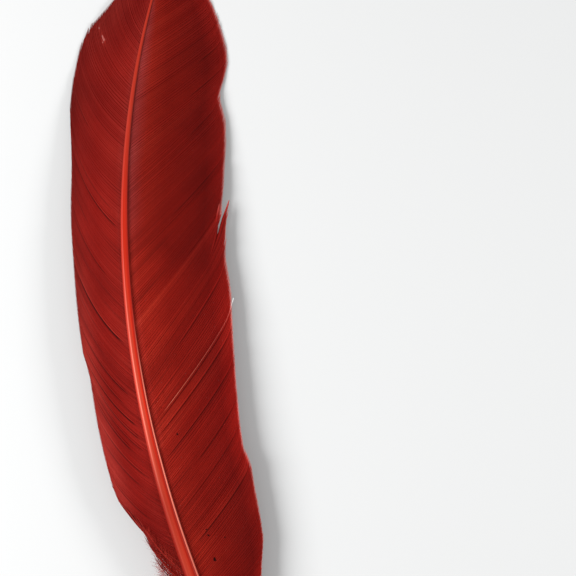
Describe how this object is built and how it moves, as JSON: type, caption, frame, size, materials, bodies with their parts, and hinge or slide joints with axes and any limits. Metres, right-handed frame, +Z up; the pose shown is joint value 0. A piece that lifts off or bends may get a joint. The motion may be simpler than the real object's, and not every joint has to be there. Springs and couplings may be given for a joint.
{
  "type": "turkey wing feather",
  "caption": "Long curved wing feather with a bare quill, a narrow leading vane, a wide trailing vane and a little down at the base, dyed red.",
  "frame": {"origin": "bottom centre of the bounding box, on the table the feather lies on", "axes": "+Z up, +Y from the quill end to the tip, leading vane towards -X"},
  "size_m": [0.0662, 0.2964, 0.0145],
  "materials": {
    "vane": "dyed red barbs, soft sheen",
    "shaft": "dyed red keratin, satin",
    "down": "dyed red down, matt"
  },
  "bodies": {
    "root": {"feather": "vane"}
  },
  "joints": []
}
